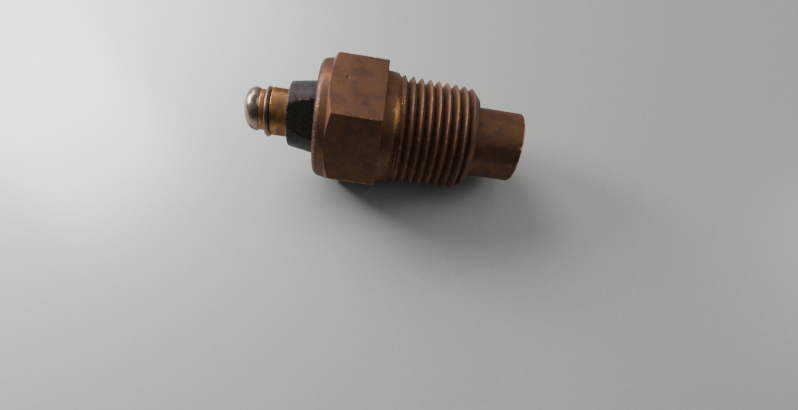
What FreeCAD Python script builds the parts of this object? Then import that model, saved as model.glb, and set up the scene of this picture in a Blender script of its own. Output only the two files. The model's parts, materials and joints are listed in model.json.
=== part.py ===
"""Screw-in temperature switch with a moulded insulator and a push-on round terminal.

Millimetres. The origin is on the axis, at the hexagon's shoulder. +X runs along the axis
towards the sensing nose, and +Z is the normal of the hexagon's top flat.
Every piece is one closed solid, written to parts/ under its own name.
"""
import FreeCAD, Part
import math
import os

ORIGIN = FreeCAD.Vector(0, 0, 0)
AXIS = FreeCAD.Vector(1, 0, 0)
ACROSS_AXIS = FreeCAD.Vector(0, 1, 0)
TAN_30 = math.tan(math.radians(30))

# Hexagon, rolled lip and plain neck of the brass body
ACROSS_FLATS = 24.0
HEX_START_X = -11.0
LIP_BASE_RADIUS = 11.95
LIP_RADIUS = 11.6
LIP_END_X = -13.85
LIP_FALL = 0.45
LIP_ROUND = 2.3
LIP_THICKNESS = 0.85
NECK_BASE_RADIUS = 11.25
NECK_RADIUS = 11.05
NECK_LENGTH = 2.25

# Tapered pipe thread, 1/2 inch with 14 threads to the inch, right-handed
PITCH = 25.4 / 14
TAPER = 1 / 32
THREAD_END_X = 19.5
CREST_RADIUS_AT_END = 10.4
THREAD_DEPTH = 1.35
ROOT_FLAT = 0.13
END_FACE_RADIUS = 8.75
GROOVE_START_X = 22.9
GROOVE_STOP_X = 1.6
RUN_OUT_LENGTH = 2.0
RUN_OUT_DEPTH = 1.8

# Sensing nose
NOSE_RADIUS = 7.0
NOSE_END_X = 29.7
NOSE_ROUND = 0.4
NOSE_WALL = 1.5
NOSE_END_WALL = 1.3

# Stepped hole inside the body
SEAT_RADIUS = 10.0
SEAT_X = -9.0
BORE_RADIUS = 7.4
BORE_END_X = 17.5

# Moulded insulator
INSULATOR_END_X = -19.42
INSULATOR_END_RADIUS = 6.44
INSULATOR_NECK_RADIUS = 7.28
INSULATOR_ROUND = 0.35
INSULATOR_FLATS = 11.9
INSULATOR_FLATS_TURN = 40.0
FLANGE_RADIUS = 9.8
FLANGE_THICKNESS = 2.5
SPIGOT_RADIUS = 7.25
SPIGOT_END_X = 4.0
SOCKET_END_X = -15.25
WASHER_THICKNESS = 0.8

# Round terminal: sleeve, stud, cap and snap ring
SLEEVE_RADIUS = 4.75
SLEEVE_PLAY = 0.03
SLEEVE_END_X = -15.3
GROOVE_X = (-24.45, -23.05)
GROOVE_RADIUS = 3.72
BEAD_X = -25.5
BEAD_RADIUS = 4.05
CAP_GROOVE_RADIUS = 3.5
SLEEVE_HEAD_X = (-27.25, -26.15)
SLEEVE_HEAD_RADIUS = 3.65
STUD_RADIUS = 1.5
STUD_HOLE_RADIUS = 1.55
STUD_HEAD_X = -28.25
STUD_HEAD_RADIUS = 2.2
CAP_OUTSIDE = [
    (-29.0, 0), (-28.86, 1.45), (-28.3, 3.12), (-27.5, 4.0), (-26.65, 4.33), (-25.95, 4.24), (-25.5, 3.93)
]
CAP_INSIDE = [(-28.52, 0), (-28.4, 1.4), (-27.95, 2.92), (-27.3, 3.63), (-26.65, 3.88), (-26.12, 3.84)]
CAP_RIM = [(-25.98, 3.56), (-25.5, 3.56)]
RING_X = -23.75
RING_WIRE_RADIUS = 0.55
RING_RADIUS = 4.5
RING_GAP_DEGREES = 24.0
RING_GAP_TURN = 200.0
RING_SAG = 0.2
RING_SAG_TURN = 125.0

# Switch inside the body
PLATE_THICKNESS = 0.6
STUD_TAIL_RADIUS = 2.3
STUD_TAIL_END_X = 5.4
FIXED_CONTACT_END_X = 6.4
FIXED_CONTACT_RADIUS = 1.8
CONTACT_GAP = 0.5
MOVING_CONTACT_RADIUS = 1.5
MOVING_CONTACT_THICKNESS = 0.7
RIVET_RADIUS = 0.8
CONTACT_PLATE_RADIUS = 5.6
EARTH_WASHER_HOLE = 3.9
TERMINAL_WASHER_RADIUS = 3.2
INNER_FIT_RADIUS = 7.3
SPACER_INNER_RADIUS = 6.5
LINER_RADII = (6.1, 6.45)
SPRING_RADIUS = 4.8
SPRING_WIRE_RADIUS = 0.22
SPRING_TURNS = 3
SPRING_WIRE_SIDES = 12
GUIDE_FLANGE_X = 14.0
GUIDE_END_X = 26.8
DISC_PACK_RADIUS = 5.45
PIN_RADIUS = 1.2
PIN_HOLE_RADIUS = 1.25
PIN_END_X = 27.8
PIN_END_ROUND = 0.4
DISC_RADIUS = 5.3
DISC_THICKNESS = 0.3
DISC_RISE = 0.35
DISC_RIM_X = 27.5
RETAINER_THICKNESS = 0.65
RETAINER_HOLE_RADIUS = 4.4
DISC_SEAT_HOLE_RADIUS = 4.3
DISC_SEAT_X = 27.94


def on_section(x, radius):
    """Point of the half section that is turned about the axis."""
    return FreeCAD.Vector(x, 0, radius)


def straight(*corners):
    """Edges of a run of straight lines."""
    return Part.makePolygon([on_section(*corner) for corner in corners]).Edges


def flowing(*points):
    """One smooth edge through the points."""
    curve = Part.BSplineCurve()
    curve.interpolate([on_section(*point) for point in points])
    return [curve.toShape()]


def turned(*stretches):
    """Solid of revolution whose half section the stretches close."""
    edges = [edge for stretch in stretches for edge in stretch]
    section = Part.Face(Part.Wire(Part.__sortEdges__(edges)))
    return section.revolve(ORIGIN, AXIS, 360)


def turned_corners(*corners):
    """Solid of revolution with a half section of straight sides."""
    return turned(straight(*corners, corners[0]))


def rod(start_x, end_x, radius):
    return Part.makeCylinder(radius, end_x - start_x, on_section(start_x, 0), AXIS)


def tube(start_x, end_x, inner_radius, outer_radius):
    return rod(start_x, end_x, outer_radius).cut(rod(start_x, end_x, inner_radius))


def edges_at(solid, places):
    """Circular edges of the solid that lie at the given (x, radius) places."""
    near = 0.001
    found = []
    for edge in solid.Edges:
        if not isinstance(edge.Curve, Part.Circle):
            continue
        for x, radius in places:
            if abs(edge.Curve.Center.x - x) < near and abs(edge.Curve.Radius - radius) < near:
                found.append(edge)
    return found


def rounded(solid, size, *places):
    return solid.makeFillet(size, edges_at(solid, places))


def bevelled(solid, size, *places):
    return solid.makeChamfer(size, edges_at(solid, places))


def swept(path, section):
    """Solid swept by a closed section along a helix about Z."""
    sweep = Part.BRepOffsetAPI.MakePipeShell(Part.Wire(path.Edges))
    sweep.setFrenetMode(True)
    sweep.add(section)
    sweep.build()
    sweep.makeSolid()
    return sweep.shape()


def crest_radius(x):
    return CREST_RADIUS_AT_END + TAPER * (THREAD_END_X - x)


def thread_groove():
    """The V groove as a solid: it starts clear of the thread's end and stops in the neck."""
    start_radius = crest_radius(GROOVE_START_X)
    half_angle = math.degrees(math.atan(TAPER))
    helix = Part.makeHelix(PITCH, GROOVE_START_X - GROOVE_STOP_X, start_radius, half_angle)
    proud = 0.05
    outer = start_radius + proud
    root = start_radius - THREAD_DEPTH
    half_root = ROOT_FLAT / 2
    half_mouth = half_root + (THREAD_DEPTH + proud) * TAN_30
    corners = [(root, -half_root), (outer, -half_mouth), (outer, half_mouth), (root, half_root)]
    ring = [FreeCAD.Vector(radius, 0, z) for radius, z in corners]
    groove = swept(helix, Part.makePolygon(ring + ring[:1]))
    groove.rotate(ORIGIN, ACROSS_AXIS, -90)
    groove.translate(FreeCAD.Vector(GROOVE_START_X, 0, 0))
    return groove


def threaded_shank():
    """Neck and tapered thread, with a 45 degree bevel at the thread's end.

    The groove is cut into a cone that reaches past the thread's end, which is then trimmed.
    """
    spare = 2.0
    past_end_x = THREAD_END_X + spare
    cone = turned_corners(
        (-1, 0), (-1, crest_radius(-1)), (past_end_x, crest_radius(past_end_x)), (past_end_x, 0)
    )
    bevel_x = THREAD_END_X - (NECK_RADIUS - END_FACE_RADIUS)
    envelope = turned_corners(
        (0, 0), (0, NECK_RADIUS), (bevel_x, NECK_RADIUS), (THREAD_END_X, END_FACE_RADIUS), (THREAD_END_X, 0)
    )
    return cone.cut(thread_groove()).common(envelope).fuse(neck())


def neck():
    """Neck with a slight taper. The cone at its end fills the groove, so that the thread fades out."""
    run_out_x = NECK_LENGTH + RUN_OUT_LENGTH
    run_out_radius = NECK_RADIUS - RUN_OUT_DEPTH
    return turned_corners(
        (0, 0),
        (0, NECK_BASE_RADIUS),
        (NECK_LENGTH, NECK_RADIUS),
        (run_out_x, run_out_radius),
        (run_out_x, 0),
    )


def hexagon():
    """Hexagon with one flat up, its terminal end turned to a 30 degree chamfer."""
    inscribed = ACROSS_FLATS / 2
    start_x = HEX_START_X - (inscribed - LIP_BASE_RADIUS) * TAN_30
    corner_radius = inscribed / math.cos(math.radians(30))
    corner = FreeCAD.Vector(start_x, corner_radius, 0)
    corners = [FreeCAD.Rotation(AXIS, 60 * k).multVec(corner) for k in range(7)]
    prism = Part.Face(Part.makePolygon(corners)).extrude(AXIS * -start_x)
    beyond = corner_radius + 1
    chamfer_end_x = HEX_START_X + (beyond - inscribed) * TAN_30
    envelope = turned_corners(
        (start_x, 0), (start_x, LIP_BASE_RADIUS), (chamfer_end_x, beyond), (0, beyond), (0, 0)
    )
    return prism.common(envelope)


def rolled_lip():
    corner_x = LIP_END_X + LIP_FALL
    lip = turned_corners(
        (LIP_END_X, 0),
        (LIP_END_X, BORE_RADIUS),
        (corner_x, LIP_RADIUS),
        (HEX_START_X, LIP_BASE_RADIUS),
        (HEX_START_X, 0),
    )
    return rounded(lip, LIP_ROUND, (corner_x, LIP_RADIUS))


def nose():
    return rounded(rod(THREAD_END_X - 1, NOSE_END_X, NOSE_RADIUS), NOSE_ROUND, (NOSE_END_X, NOSE_RADIUS))


def body_hole():
    """Everything that is bored out of the body, from the lip's opening to the nose's end wall."""
    opening = rod(LIP_END_X - 1, SEAT_X, BORE_RADIUS)
    seat = rod(LIP_END_X + LIP_THICKNESS, SEAT_X, SEAT_RADIUS)
    bore = rod(SEAT_X, BORE_END_X, BORE_RADIUS)
    nose_bore = rod(BORE_END_X, NOSE_END_X - NOSE_END_WALL, NOSE_RADIUS - NOSE_WALL)
    return opening.fuse([seat, bore, nose_bore])


def body():
    outside = threaded_shank().fuse([hexagon(), rolled_lip(), nose()])
    return outside.cut(body_hole()).removeSplitter()


def insulator():
    flange_x = LIP_END_X + LIP_THICKNESS + WASHER_THICKNESS
    flange_end_x = flange_x + FLANGE_THICKNESS
    blank = turned_corners(
        (INSULATOR_END_X, SLEEVE_RADIUS + SLEEVE_PLAY),
        (INSULATOR_END_X, INSULATOR_END_RADIUS),
        (LIP_END_X, INSULATOR_NECK_RADIUS),
        (flange_x, INSULATOR_NECK_RADIUS),
        (flange_x, FLANGE_RADIUS),
        (flange_end_x, FLANGE_RADIUS),
        (flange_end_x, SPIGOT_RADIUS),
        (SPIGOT_END_X, SPIGOT_RADIUS),
        (SPIGOT_END_X, STUD_HOLE_RADIUS),
        (SOCKET_END_X, STUD_HOLE_RADIUS),
        (SOCKET_END_X, SLEEVE_RADIUS + SLEEVE_PLAY),
    )
    blank = rounded(blank, INSULATOR_ROUND, (INSULATOR_END_X, INSULATOR_END_RADIUS))
    return blank.cut(spanner_flats())


def spanner_flats():
    """Two slabs that leave flats on opposite sides of the insulator's cone."""
    depth = 2 * INSULATOR_NECK_RADIUS
    start_x = INSULATOR_END_X - 1
    length = LIP_END_X + LIP_THICKNESS - start_x
    slab = Part.makeBox(length, 2 * depth, depth, FreeCAD.Vector(start_x, -depth, INSULATOR_FLATS / 2))
    slab.rotate(ORIGIN, AXIS, INSULATOR_FLATS_TURN)
    other = slab.copy()
    other.rotate(ORIGIN, AXIS, 180)
    return slab.fuse(other)


def support_washer():
    start_x = LIP_END_X + LIP_THICKNESS
    return tube(start_x, start_x + WASHER_THICKNESS, BORE_RADIUS, FLANGE_RADIUS + 0.05)


def flange_o_ring():
    """Rubber ring squeezed between the insulator's flange and the seat in the body."""
    flange_end_x = LIP_END_X + LIP_THICKNESS + WASHER_THICKNESS + FLANGE_THICKNESS
    cord_radius = (SEAT_X - flange_end_x) / 2 - 0.01
    centre = on_section((SEAT_X + flange_end_x) / 2, 0)
    return Part.makeTorus((SEAT_RADIUS + BORE_RADIUS) / 2, cord_radius, centre, AXIS)


def terminal_sleeve():
    """Brass sleeve: head inside the cap, bead, groove for the snap ring, then the plain barrel."""
    head_x, head_end_x = SLEEVE_HEAD_X
    groove_x, groove_end_x = GROOVE_X
    sleeve = turned_corners(
        (head_x, STUD_HOLE_RADIUS),
        (head_x, SLEEVE_HEAD_RADIUS - 0.35),
        (head_x + 0.35, SLEEVE_HEAD_RADIUS),
        (head_end_x, SLEEVE_HEAD_RADIUS),
        (head_end_x, CAP_GROOVE_RADIUS),
        (BEAD_X, CAP_GROOVE_RADIUS),
        (BEAD_X, BEAD_RADIUS),
        (groove_x, BEAD_RADIUS),
        (groove_x, GROOVE_RADIUS),
        (groove_end_x, GROOVE_RADIUS),
        (groove_end_x, SLEEVE_RADIUS),
        (SLEEVE_END_X, SLEEVE_RADIUS),
        (SLEEVE_END_X, STUD_HOLE_RADIUS),
    )
    sleeve = rounded(sleeve, 0.22, (BEAD_X, BEAD_RADIUS), (groove_x, BEAD_RADIUS))
    return rounded(sleeve, 0.15, (groove_end_x, SLEEVE_RADIUS))


def terminal_stud():
    """Rivet from the cap to the fixed contact: it holds the sleeve and insulator together."""
    head_end_x = SLEEVE_HEAD_X[0]
    tail_x = SPIGOT_END_X + PLATE_THICKNESS
    return turned_corners(
        (STUD_HEAD_X, 0),
        (STUD_HEAD_X, STUD_HEAD_RADIUS - 0.5),
        (STUD_HEAD_X + 0.3, STUD_HEAD_RADIUS),
        (head_end_x, STUD_HEAD_RADIUS),
        (head_end_x, STUD_RADIUS),
        (tail_x, STUD_RADIUS),
        (tail_x, STUD_TAIL_RADIUS),
        (STUD_TAIL_END_X - 0.3, STUD_TAIL_RADIUS),
        (STUD_TAIL_END_X, STUD_TAIL_RADIUS - 0.3),
        (STUD_TAIL_END_X, 0),
    )


def terminal_cap():
    """Drawn nickel cap with a domed tip. Its rim is rolled in behind the sleeve's head."""
    rim = straight(CAP_INSIDE[-1], *CAP_RIM, CAP_OUTSIDE[-1])
    tip = straight(CAP_INSIDE[0], CAP_OUTSIDE[0])
    return turned(flowing(*CAP_OUTSIDE), rim, flowing(*CAP_INSIDE), tip)


def snap_ring_sag():
    """How far the loose ring has dropped in its groove."""
    turn = math.radians(RING_SAG_TURN)
    return FreeCAD.Vector(0, -RING_SAG * math.sin(turn), RING_SAG * math.cos(turn))


def snap_ring():
    """Round wire bent to an open ring, lying loosely in the sleeve's groove."""
    section = Part.Wire(Part.makeCircle(RING_WIRE_RADIUS, on_section(RING_X, RING_RADIUS), ACROSS_AXIS))
    ring = Part.Face(section).revolve(ORIGIN, AXIS, 360 - RING_GAP_DEGREES)
    ring.rotate(ORIGIN, AXIS, RING_GAP_TURN + RING_GAP_DEGREES / 2)
    ring.translate(snap_ring_sag())
    return ring


def inner_terminal_washer():
    return tube(SPIGOT_END_X, SPIGOT_END_X + PLATE_THICKNESS, STUD_HOLE_RADIUS, TERMINAL_WASHER_RADIUS)


def fixed_contact():
    contact = rod(STUD_TAIL_END_X, FIXED_CONTACT_END_X, FIXED_CONTACT_RADIUS)
    return bevelled(contact, 0.25, (FIXED_CONTACT_END_X, FIXED_CONTACT_RADIUS))


def contact_plate_x():
    return FIXED_CONTACT_END_X + CONTACT_GAP + MOVING_CONTACT_THICKNESS


def moving_contact():
    """Silver button riveted through the contact plate."""
    start_x = FIXED_CONTACT_END_X + CONTACT_GAP
    plate_x = contact_plate_x()
    head = bevelled(rod(start_x, plate_x, MOVING_CONTACT_RADIUS), 0.2, (start_x, MOVING_CONTACT_RADIUS))
    return head.fuse(rod(plate_x, plate_x + PLATE_THICKNESS, RIVET_RADIUS)).removeSplitter()


def contact_plate():
    start_x = contact_plate_x()
    return tube(start_x, start_x + PLATE_THICKNESS, RIVET_RADIUS, CONTACT_PLATE_RADIUS)


def return_spring():
    """Compression spring between the earth washer and the contact plate, its wire twelve-sided."""
    start_x = SPIGOT_END_X + PLATE_THICKNESS + SPRING_WIRE_RADIUS
    end_x = contact_plate_x() - SPRING_WIRE_RADIUS
    height = end_x - start_x
    helix = Part.makeHelix(height / SPRING_TURNS, height, SPRING_RADIUS)
    centre = FreeCAD.Vector(SPRING_RADIUS, 0, 0)
    side = FreeCAD.Rotation(ACROSS_AXIS, 360 / SPRING_WIRE_SIDES)
    spoke = FreeCAD.Vector(SPRING_WIRE_RADIUS, 0, 0)
    corners = [centre + spoke]
    for _ in range(SPRING_WIRE_SIDES):
        spoke = side.multVec(spoke)
        corners.append(centre + spoke)
    spring = swept(helix, Part.makePolygon(corners))
    spring.rotate(ORIGIN, ACROSS_AXIS, 90)
    spring.translate(FreeCAD.Vector(start_x, 0, 0))
    return spring


def earth_washer():
    """Clamped under the spacer tube: it carries the current from the spring to the body."""
    return tube(SPIGOT_END_X, SPIGOT_END_X + PLATE_THICKNESS, EARTH_WASHER_HOLE, INNER_FIT_RADIUS)


def spacer_tube():
    return tube(SPIGOT_END_X + PLATE_THICKNESS, GUIDE_FLANGE_X, SPACER_INNER_RADIUS, INNER_FIT_RADIUS)


def liner_tube():
    """Insulating paper tube inside the spacer tube."""
    return tube(SPIGOT_END_X + PLATE_THICKNESS, GUIDE_FLANGE_X, *LINER_RADII)


def pin_guide():
    """Stepped ceramic guide: its flange stands on the bore's step, its barrel fills the nose."""
    flange = rod(GUIDE_FLANGE_X, BORE_END_X, INNER_FIT_RADIUS)
    barrel = rod(BORE_END_X, GUIDE_END_X, DISC_PACK_RADIUS)
    return flange.fuse(barrel).cut(rod(GUIDE_FLANGE_X, GUIDE_END_X, PIN_HOLE_RADIUS)).removeSplitter()


def push_pin():
    pin = rod(contact_plate_x() + PLATE_THICKNESS, PIN_END_X, PIN_RADIUS)
    return rounded(pin, PIN_END_ROUND, (PIN_END_X, PIN_RADIUS))


def disc_retainer():
    return tube(GUIDE_END_X, GUIDE_END_X + RETAINER_THICKNESS, RETAINER_HOLE_RADIUS, DISC_PACK_RADIUS)


def bimetal_disc():
    """Dished disc. Cold, its middle stands towards the nose; hot, it snaps the other way."""
    rise = DISC_RISE
    sphere_radius = (DISC_RADIUS**2 + rise**2) / (2 * rise)
    centre_x = DISC_RIM_X + rise - sphere_radius
    outer = Part.makeSphere(sphere_radius + DISC_THICKNESS, on_section(centre_x, 0))
    inner = Part.makeSphere(sphere_radius, on_section(centre_x, 0))
    return outer.cut(inner).common(rod(DISC_RIM_X, DISC_RIM_X + 1, DISC_RADIUS))


def disc_seat():
    end_x = NOSE_END_X - NOSE_END_WALL
    return tube(DISC_SEAT_X, end_x, DISC_SEAT_HOLE_RADIUS, DISC_PACK_RADIUS)


PIECES = [
    body,
    support_washer,
    flange_o_ring,
    insulator,
    terminal_sleeve,
    terminal_stud,
    terminal_cap,
    snap_ring,
    inner_terminal_washer,
    fixed_contact,
    moving_contact,
    contact_plate,
    return_spring,
    earth_washer,
    spacer_tube,
    liner_tube,
    pin_guide,
    push_pin,
    disc_retainer,
    bimetal_disc,
    disc_seat,
]

os.makedirs("parts", exist_ok=True)
for make in PIECES:
    solid = make()
    solid.exportStep(f"parts/{make.__name__}.step")
    print(f"{make.__name__:24s} {solid.Volume:9.2f} mm3, {len(solid.Solids)} solid, valid {solid.isValid()}")
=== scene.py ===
import json
import math
import random

import bmesh
import bpy
import numpy as np
from mathutils import Matrix, Vector


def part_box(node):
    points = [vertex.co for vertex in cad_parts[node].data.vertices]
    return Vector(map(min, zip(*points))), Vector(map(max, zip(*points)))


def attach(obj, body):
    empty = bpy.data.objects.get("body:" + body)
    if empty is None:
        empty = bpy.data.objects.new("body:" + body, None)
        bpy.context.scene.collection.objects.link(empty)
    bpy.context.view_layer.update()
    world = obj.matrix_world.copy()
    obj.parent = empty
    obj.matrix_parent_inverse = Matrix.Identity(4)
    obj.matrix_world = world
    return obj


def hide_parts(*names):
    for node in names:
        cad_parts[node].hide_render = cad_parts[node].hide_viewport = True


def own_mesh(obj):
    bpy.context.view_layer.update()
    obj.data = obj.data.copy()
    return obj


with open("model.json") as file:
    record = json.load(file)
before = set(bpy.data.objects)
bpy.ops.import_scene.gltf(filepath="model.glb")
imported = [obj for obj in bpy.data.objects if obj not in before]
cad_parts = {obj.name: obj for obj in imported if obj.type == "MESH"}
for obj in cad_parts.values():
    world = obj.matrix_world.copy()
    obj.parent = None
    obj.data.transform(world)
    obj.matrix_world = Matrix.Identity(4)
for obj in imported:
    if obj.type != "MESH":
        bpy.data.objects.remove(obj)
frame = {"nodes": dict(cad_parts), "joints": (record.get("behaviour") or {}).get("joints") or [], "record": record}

# Looks of the screw-in temperature switch. The sizes below are in millimetres, along the part's
# axis X and as radii from it; a mesh is scaled to metres when it is made. An angle round the axis
# starts at +Y and turns towards +Z, so the hexagon's corners are at whole multiples of 60 degrees.

MM = 0.001
TAN_30 = math.tan(math.radians(30))
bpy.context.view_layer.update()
record = frame["record"]
mounts = {mount["name"]: mount for mount in record["mounts"]}
joints = {joint["name"]: joint for joint in frame["joints"]}


def span_mm(node):
    """Where a CAD node starts and ends along the axis, and its largest reach from it in Z."""
    low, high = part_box(node)
    return low.x / MM, high.x / MM, high.z / MM


# Brass body
LIP_X, NOSE_END_X, INSCRIBED = span_mm("body")
HEX_X = -11.0
LIP_BASE_RADIUS = 11.95
LIP_RADIUS = 11.6
LIP_FALL = 0.45
LIP_ROUND = 2.3
LIP_THICKNESS = 0.85
OPENING_RADIUS = 7.4
NECK_BASE_RADIUS = 11.25
NECK_RADIUS = 11.05
NECK_LENGTH = 2.25
RUN_OUT_SLOPE = 0.9
PITCH = 25.4 / 14
TAPER = 1 / 32
THREAD_END_X = 19.5
END_FACE_RADIUS = 8.75
CREST_RADIUS_AT_END = mounts["thread"]["dims"]["r_mm"]
THREAD_DEPTH = 1.35
ROOT_FLAT = 0.13
THREAD_BEVEL_X = THREAD_END_X - (NECK_RADIUS - END_FACE_RADIUS)
GROOVE_START_X = 22.9
NOSE_RADIUS = mounts["sensing_nose"]["dims"]["r_mm"]
SEAT_RADIUS = 10.0
SEAT_X = -9.0
BORE_END_X = 17.5
NOSE_WALL = 1.5
NOSE_END_WALL = 1.3
EDGE_ROUND = 0.08
CORNER_RADIUS = INSCRIBED / math.cos(math.radians(30))

# Moulded insulator
INSULATOR_X, SPIGOT_END_X, FLANGE_RADIUS = span_mm("insulator")
INSULATOR_END_RADIUS = 6.44
INSULATOR_NECK_RADIUS = 7.28
INSULATOR_ROUND = 0.35
CONE_SLOPE = (INSULATOR_NECK_RADIUS - INSULATOR_END_RADIUS) / (LIP_X - INSULATOR_X)
INSULATOR_FLATS = 11.9
FLATS_ANGLE = 130.0
FLANGE_X = -12.2
FLANGE_END_X = -9.7
SPIGOT_RADIUS = 7.25
SOCKET_END_X = -15.25
SOCKET_BEVEL = 0.1
SLEEVE_PLAY = 0.03

# Round terminal
SLEEVE_HEAD_X, SLEEVE_END_X, SLEEVE_RADIUS = span_mm("terminal_sleeve")
STUD_HOLE_RADIUS = 1.55
RING_GROOVE_X = (-24.45, -23.05)
RING_GROOVE_RADIUS = 3.72
BEAD_X = -25.5
BEAD_RADIUS = 4.05
CAP_GROOVE_X = -26.15
CAP_GROOVE_RADIUS = 3.5
SLEEVE_HEAD_RADIUS = 3.65
CAP_OUTSIDE = [
    (-29.0, 0), (-28.86, 1.45), (-28.3, 3.12), (-27.5, 4.0),
    (-26.65, 4.33), (-25.95, 4.24), (-25.5, 3.93),
]
CAP_INSIDE = [(-28.52, 0), (-28.4, 1.4), (-27.95, 2.92), (-27.3, 3.63), (-26.65, 3.88), (-26.12, 3.84)]
CAP_RIM = [(-25.98, 3.56), (-25.5, 3.56)]
RING_RADIUS = 4.5
RING_WIRE_RADIUS = 0.55
RING_WIRE_SIDES = 20
RING_HALF_ROWS = 75
RING_END_ROUND = 0.12
RING_END_RUB = 0.5
RING_GAP = 24.0
RING_GAP_ANGLE = 290.0

# How the part lies: on the hexagon's lower edge and on a crest near the thread's end
REST_CREST_X = 17.9

# Camera, floor and light. The camera's place is in millimetres, the floor's size in metres
CAMERA_PLACE = Vector((-3.29, -64.9, 93.02))
CAMERA_LOOK = Vector((0.0714, 0.2349, -0.9694))
CAMERA_UP = Vector((-0.1242, 0.9664, 0.225))
CAMERA_LENS = 22.03
CAMERA_SHIFT = (0.0287, 0.1426)
SENSOR_WIDTH = 36
FLOOR_SIZE = 12.0
FLOOR_DIM = (0.62, 0.665, 0.65, 1.0)
FLOOR_PALE = (0.66, 0.705, 0.69, 1.0)
BRIGHT_SIDE = (-0.15, 0.5, 0.85)
BRIGHT_REACH = (0.05, 0.8)
SURROUND_DIM = (0.028, 0.042, 0.047, 1.0)
SURROUND_BRIGHT = (0.33, 0.325, 0.315, 1.0)
SURROUND_SEEN = (0.6, 0.61, 0.61, 1.0)
# Name, direction from the part, distance, size, radiance, tint and the place it faces
SOFT_LIGHTS = (
    ("left_window", (-0.5, 0.66, 0.5), 450, (220, 180), 7.0, (1.0, 0.98, 0.94), (0, 0, 0)),
    ("right_window", (0.8, 0.24, 0.54), 450, (160, 160), 4.0, (1.0, 0.93, 0.85), (0, 0, 0)),
    ("left_lamp", (-0.9, 0.28, 0.33), 145, (60, 60), 22.0, (1.0, 0.97, 0.96), (-88, 0, -12)),
)


# ---------------------------------------------------------------- meshes

# Wear runs from -1, dirt and painted shade, through 0, plain, to 1, rubbed bright; the thread's run-out also gets
# a painted highlight
WEAR_REACH = 0.22
ARC_STEPS = 6
ON_AXIS = 1e-6
CLEAR_OF_END = 1e-4


def mesh_object(name, points_mm, faces, wear):
    """Smooth mesh in metres, with each point's wear, painted shade and painted highlight as the attribute wear."""
    mesh = bpy.data.meshes.new(name)
    mesh.from_pydata((np.asarray(points_mm) * MM).tolist(), [], faces)
    worn = mesh.attributes.new("wear", "FLOAT", "POINT")
    worn.data.foreach_set("value", np.asarray(wear, np.float32))
    tidy = bmesh.new()
    tidy.from_mesh(mesh)
    bmesh.ops.recalc_face_normals(tidy, faces=tidy.faces)
    tidy.to_mesh(mesh)
    tidy.free()
    mesh.shade_smooth()
    piece = bpy.data.objects.new(name, mesh)
    bpy.context.scene.collection.objects.link(piece)
    return piece


def distinct(corners):
    """A face's corners without repeats, or None if fewer than three are left."""
    kept = [corner for k, corner in enumerate(corners) if corner != corners[k - 1]]
    return kept if len(kept) > 2 and len(set(kept)) == len(kept) else None


def strip_faces(row, next_row):
    """Faces between two closed rows of point numbers. A row that is one repeated point is a pole."""
    quads = zip(row, row[1:] + row[:1], next_row[1:] + next_row[:1], next_row)
    return [face for face in map(distinct, quads) if face]


class Outline:
    """Rows of a turned outline: x, radius and wear, each with a value for every column."""

    def __init__(self, columns):
        self.columns = columns
        self.rows = []

    def spread(self, value):
        return np.broadcast_to(np.asarray(value, float), (self.columns,)).copy()

    def add(self, x, radius, wear=0.0):
        self.rows.append((self.spread(x), self.spread(radius), self.spread(wear)))

    def corners(self, *corners):
        """Adds a run of corners (x, radius, rounding, wear). A rounded corner becomes an arc."""
        places = [(self.spread(x), self.spread(radius)) for x, radius, _, _ in corners]
        for k, (x, radius, rounding, wear) in enumerate(corners):
            if not rounding or k in (0, len(corners) - 1):
                self.add(x, radius, wear)
            else:
                self.arc(places[k - 1], places[k], places[k + 1], rounding, wear)

    def arc(self, before, corner, after, rounding, wear):
        """Rounds a corner, its wear value fullest at its middle, with a row beside each end where the wear stops.
        """
        here = np.stack(corner)
        back = np.stack(before) - here
        ahead = np.stack(after) - here
        back_length = np.hypot(*back)
        ahead_length = np.hypot(*ahead)
        back = back / back_length
        ahead = ahead / ahead_length
        half_open = np.arccos(np.clip((back * ahead).sum(0), -1, 1)) / 2
        cut = np.minimum(rounding / np.tan(half_open), 0.48 * np.minimum(back_length, ahead_length))
        margin_back = np.minimum(cut + WEAR_REACH, 0.49 * back_length)
        margin_ahead = np.minimum(cut + WEAR_REACH, 0.49 * ahead_length)
        self.add(*(here + back * margin_back))
        steps = ARC_STEPS if rounding < 1 else 2 * ARC_STEPS
        weight = np.sin(half_open)
        for step in range(steps + 1):
            t = step / steps
            first, middle, last = (1 - t) ** 2, 2 * weight * t * (1 - t), t ** 2
            place = first * (here + back * cut) + middle * here + last * (here + ahead * cut)
            self.add(*(place / (first + middle + last)), wear * math.sin(math.pi * t))
        self.add(*(here + ahead * margin_ahead))


class Skin:
    """Points and faces that are gathered row by row round the axis."""

    def __init__(self, angles=None):
        self.angles = angles
        self.points = []
        self.wear = []
        self.faces = []

    def row(self, x, radius, wear, angles=None):
        """Adds a row and gives its point numbers. A row on the axis is one point."""
        angles = self.angles if angles is None else angles
        start = len(self.points)
        if np.max(radius) < ON_AXIS:
            self.points.append((float(x[0]), 0.0, 0.0))
            self.wear.append(0.0)
            return [start] * len(angles)
        self.points += np.stack([x, radius * np.cos(angles), radius * np.sin(angles)], 1).tolist()
        self.wear += wear.tolist()
        return list(range(start, start + len(angles)))

    def outline(self, outline, first=None, last=None, loop=False):
        """Adds an outline's rows and the faces between them. first and last are rows to join to."""
        rows = [self.row(*row) for row in outline.rows]
        chain = ([first] if first else []) + rows + ([last] if last else [])
        for row, next_row in zip(chain, chain[1:] + (chain[:1] if loop else [])):
            self.faces += strip_faces(row, next_row)
        return rows


def even_angles(count):
    return np.arange(count) * math.tau / count


def round_axis(x, radius, angle):
    """The place at this angle and distance from the axis."""
    return x, radius * math.cos(angle), radius * math.sin(angle)


def turned_piece(name, outline, loop=False):
    """A piece that is the same all round the axis."""
    skin = Skin(even_angles(outline.columns))
    skin.outline(outline, loop=loop)
    return mesh_object(name, skin.points, skin.faces, skin.wear)


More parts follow.
